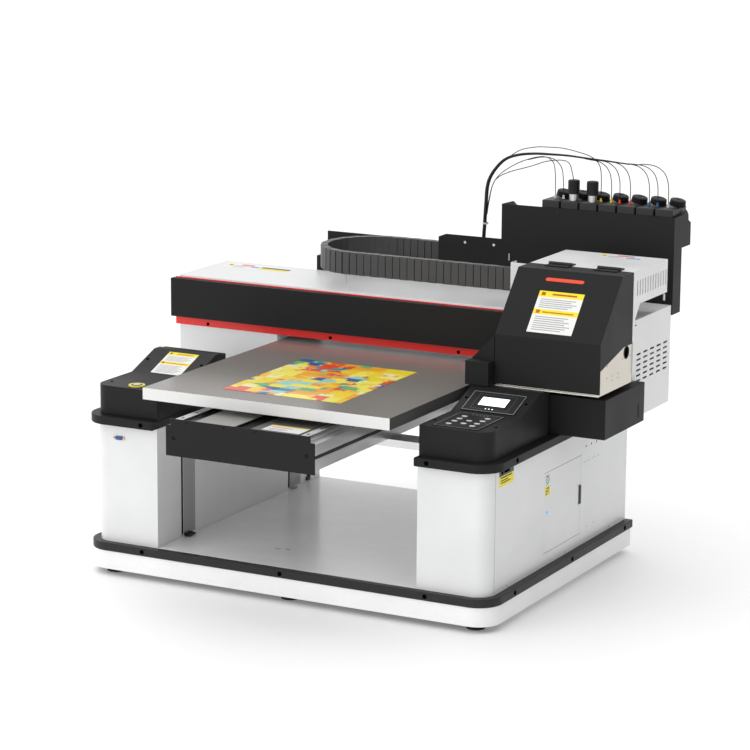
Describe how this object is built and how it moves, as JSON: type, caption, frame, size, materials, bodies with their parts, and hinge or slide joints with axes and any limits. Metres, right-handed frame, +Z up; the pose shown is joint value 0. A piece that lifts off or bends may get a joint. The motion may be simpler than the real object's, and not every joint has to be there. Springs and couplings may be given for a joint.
{
  "type": "flatbed uv printer",
  "caption": "Flatbed UV printer with a bed that lifts and slides, a gantry print carriage with a hinged hood, two cabinets and a rear ink rack.",
  "frame": {"origin": "floor level, under the middle of the whole machine's box", "axes": "+X to the machine's right along the gantry, +Y to the rear, +Z up"},
  "size_m": [1.283, 1.146, 0.9809],
  "materials": {
    "white_powder_coat": "satin white powder coat",
    "black_powder_coat": "satin charcoal powder coat",
    "red_powder_coat": "satin bright red powder coat",
    "aluminium": "natural anodised extrusion",
    "ground_steel": "ground linear rail steel",
    "brushed_stainless": "warm brushed stainless sheet",
    "bed_surface": "taupe grey anodised vacuum bed with fine holes",
    "black_plastic": "moulded black",
    "grey_plastic": "moulded dark grey",
    "key_plastic": "light grey silicone",
    "yellow_plastic": "yellow moulded ring",
    "blue_plastic": "blue connector insert",
    "rubber": "black rubber foot"
  },
  "bodies": {
    "base": {"base_plinth": "white_powder_coat", "base_trim_band": "black_powder_coat", "base_floor_plate": "white_powder_coat", "levelling_foot_front_left": "rubber", "levelling_foot_front_right": "rubber", "levelling_foot_rear_left": "rubber", "levelling_foot_rear_right": "rubber", "left_cabinet": "white_powder_coat", "right_cabinet": "white_powder_coat", "left_shoulder_band": "black_powder_coat", "right_shoulder_band": "black_powder_coat", "left_console": "black_powder_coat", "right_console": "black_powder_coat", "display_bezel": "black_plastic", "keypad_panel": "black_plastic", "button_collar": "yellow_plastic", "data_port": "blue_plastic", "left_pillar": "white_powder_coat", "right_pillar": "white_powder_coat", "gantry_beam": "aluminium", "beam_top_cover": "white_powder_coat", "beam_front_cover": "black_powder_coat", "beam_red_trim": "red_powder_coat", "x_rail": "ground_steel", "maintenance_station": "black_powder_coat", "ink_rack": "black_powder_coat", "ink_tank_bank": "black_plastic", "stirrer_motor_1": "ground_steel", "stirrer_motor_2": "ground_steel", "ink_tube_bundle": "black_plastic", "chain_guide_tray": "black_powder_coat", "drag_chain": "grey_plastic"},
    "lift": {"lift_bar_front": "aluminium", "lift_bar_rear": "aluminium", "bed_profile_left": "aluminium", "bed_profile_right": "aluminium", "bed_rail_left": "ground_steel", "bed_rail_right": "ground_steel", "bed_front_plate": "black_powder_coat", "bed_drive_cover": "grey_plastic"},
    "bed": {"vacuum_bed": "bed_surface", "bed_slide_frame": "aluminium"},
    "carriage": {"carriage_frame": "brushed_stainless", "carriage_rear_cover": "white_powder_coat", "print_heads": "black_plastic", "uv_lamp": "black_plastic"},
    "front_cover": {"carriage_front_cover": "black_powder_coat"},
    "cabinet_door": {"cabinet_door": "white_powder_coat"},
    "door_latch": {"door_latch": "black_plastic"},
    "start_button": {"start_button": "key_plastic"},
    "key_1": {"key_1": "key_plastic"},
    "key_2": {"key_2": "key_plastic"},
    "key_3": {"key_3": "key_plastic"},
    "key_4": {"key_4": "key_plastic"},
    "key_5": {"key_5": "key_plastic"},
    "key_6": {"key_6": "key_plastic"},
    "key_7": {"key_7": "key_plastic"},
    "key_8": {"key_8": "key_plastic"},
    "key_9": {"key_9": "key_plastic"},
    "key_10": {"key_10": "key_plastic"}
  },
  "joints": [
    {"name": "lift_height", "type": "slide", "parent": "base", "child": "lift", "axis": [0, 0, 1], "range_m": [-0.23, 0]},
    {"name": "bed_travel", "type": "slide", "parent": "lift", "child": "bed", "axis": [0, 1, 0], "range_m": [-0.36, 0.36]},
    {"name": "carriage_travel", "type": "slide", "parent": "base", "child": "carriage", "axis": [1, 0, 0], "range_m": [-0.82, 0], "deforming": ["drag_chain"]},
    {"name": "front_cover_hinge", "type": "hinge", "parent": "carriage", "child": "front_cover", "pos_m": [0.51, 0.1132, 0.7583], "axis": [-1, 0, 0], "range_deg": [0, 95]},
    {"name": "cabinet_door_hinge", "type": "hinge", "parent": "base", "child": "cabinet_door", "pos_m": [0.5082, -0.0675, 0.2045], "axis": [0, 0, -1], "range_deg": [0, 100]},
    {"name": "door_latch_pull", "type": "hinge", "parent": "cabinet_door", "child": "door_latch", "pos_m": [0.50975, 0.139, 0.2055], "axis": [0, 0, 1], "range_deg": [0, 40], "stiffness_Nm_per_rad": 0.05, "springref_deg": -17.19},
    {"name": "start_button_press", "type": "slide", "parent": "base", "child": "start_button", "axis": [0, 0, -1], "range_m": [0, 0.003], "stiffness_N_per_m": 400, "springref_m": -0.002},
    {"name": "key_1_press", "type": "slide", "parent": "base", "child": "key_1", "axis": [0, 0, -1], "range_m": [0, 0.001], "stiffness_N_per_m": 400, "springref_m": -0.001},
    {"name": "key_2_press", "type": "slide", "parent": "base", "child": "key_2", "axis": [0, 0, -1], "range_m": [0, 0.001], "stiffness_N_per_m": 400, "springref_m": -0.001},
    {"name": "key_3_press", "type": "slide", "parent": "base", "child": "key_3", "axis": [0, 0, -1], "range_m": [0, 0.001], "stiffness_N_per_m": 400, "springref_m": -0.001},
    {"name": "key_4_press", "type": "slide", "parent": "base", "child": "key_4", "axis": [0, 0, -1], "range_m": [0, 0.001], "stiffness_N_per_m": 400, "springref_m": -0.001},
    {"name": "key_5_press", "type": "slide", "parent": "base", "child": "key_5", "axis": [0, 0, -1], "range_m": [0, 0.001], "stiffness_N_per_m": 400, "springref_m": -0.001},
    {"name": "key_6_press", "type": "slide", "parent": "base", "child": "key_6", "axis": [0, 0, -1], "range_m": [0, 0.001], "stiffness_N_per_m": 400, "springref_m": -0.001},
    {"name": "key_7_press", "type": "slide", "parent": "base", "child": "key_7", "axis": [0, 0, -1], "range_m": [0, 0.001], "stiffness_N_per_m": 400, "springref_m": -0.001},
    {"name": "key_8_press", "type": "slide", "parent": "base", "child": "key_8", "axis": [0, 0, -1], "range_m": [0, 0.001], "stiffness_N_per_m": 400, "springref_m": -0.001},
    {"name": "key_9_press", "type": "slide", "parent": "base", "child": "key_9", "axis": [0, 0, -1], "range_m": [0, 0.001], "stiffness_N_per_m": 400, "springref_m": -0.001},
    {"name": "key_10_press", "type": "slide", "parent": "base", "child": "key_10", "axis": [0, 0, -1], "range_m": [0, 0.001], "stiffness_N_per_m": 400, "springref_m": -0.001}
  ]
}
